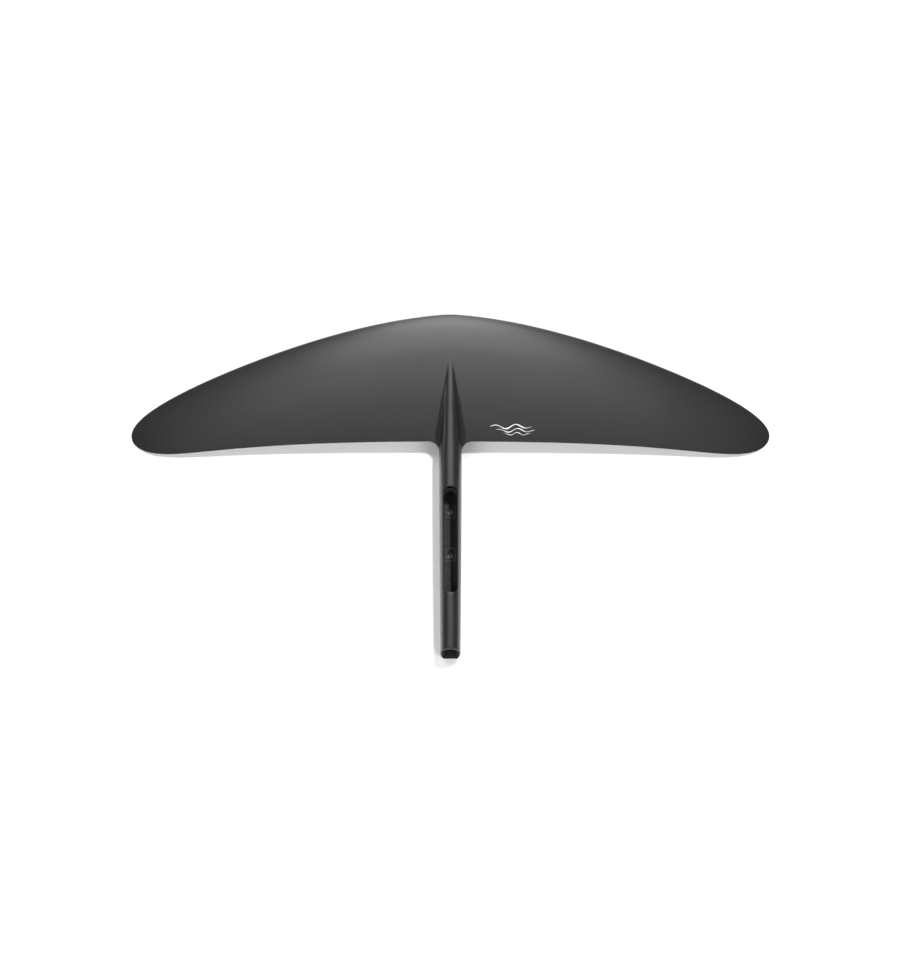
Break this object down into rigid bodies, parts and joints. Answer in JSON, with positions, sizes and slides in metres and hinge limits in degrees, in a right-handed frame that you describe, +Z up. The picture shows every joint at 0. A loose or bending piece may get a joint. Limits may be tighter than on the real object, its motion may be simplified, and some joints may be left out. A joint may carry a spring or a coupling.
{
  "type": "hydrofoil front wing with fuselage",
  "caption": "Crescent-shaped carbon hydrofoil front wing moulded with a slim rear fuselage; an open pocket on top takes the mast's foot and a tail socket takes the rear wing.",
  "frame": {"origin": "middle of the mast pocket's flat floor", "axes": "+X along the span towards the right tip, +Y forward along the fuselage towards the leading edge, +Z up out of the mast pocket"},
  "size_m": [0.8496, 0.4726, 0.0385],
  "materials": {
    "carbon_laminate": "satin clear coat over fine woven carbon laminate",
    "spar_carbon": "bare unidirectional carbon laminate",
    "core_foam": "closed-cell structural foam, sealed inside",
    "resin_filler": "microballoon resin filler, sealed inside",
    "glass_laminate": "smooth moulded glass and carbon laminate, black",
    "stainless_steel": "machined stainless steel"
  },
  "bodies": {
    "root": {"upper_shell": "carbon_laminate", "lower_shell": "carbon_laminate", "leading_edge_filler": "resin_filler", "trailing_edge_filler_left": "resin_filler", "trailing_edge_filler_right": "resin_filler", "tip_filler_left": "resin_filler", "tip_filler_right": "resin_filler", "core_front_left": "core_foam", "core_front_right": "core_foam", "core_rear_left": "core_foam", "core_rear_right": "core_foam", "spar_core_front_left": "core_foam", "spar_core_front_right": "core_foam", "spar_core_rear_left": "core_foam", "spar_core_rear_right": "core_foam", "spine_core": "core_foam", "spar_cap_upper": "spar_carbon", "spar_cap_lower": "spar_carbon", "spar_web": "spar_carbon", "mast_socket": "glass_laminate", "belly_backing_pad": "glass_laminate", "bulkhead_front": "glass_laminate", "bulkhead_rear": "glass_laminate", "tail_socket": "glass_laminate", "socket_wear_plate_front": "stainless_steel", "socket_wear_plate_rear": "stainless_steel", "mast_bolt_bush_front": "stainless_steel", "mast_bolt_bush_rear": "stainless_steel", "tail_bolt_bush_front": "stainless_steel", "tail_bolt_bush_rear": "stainless_steel"}
  },
  "joints": []
}
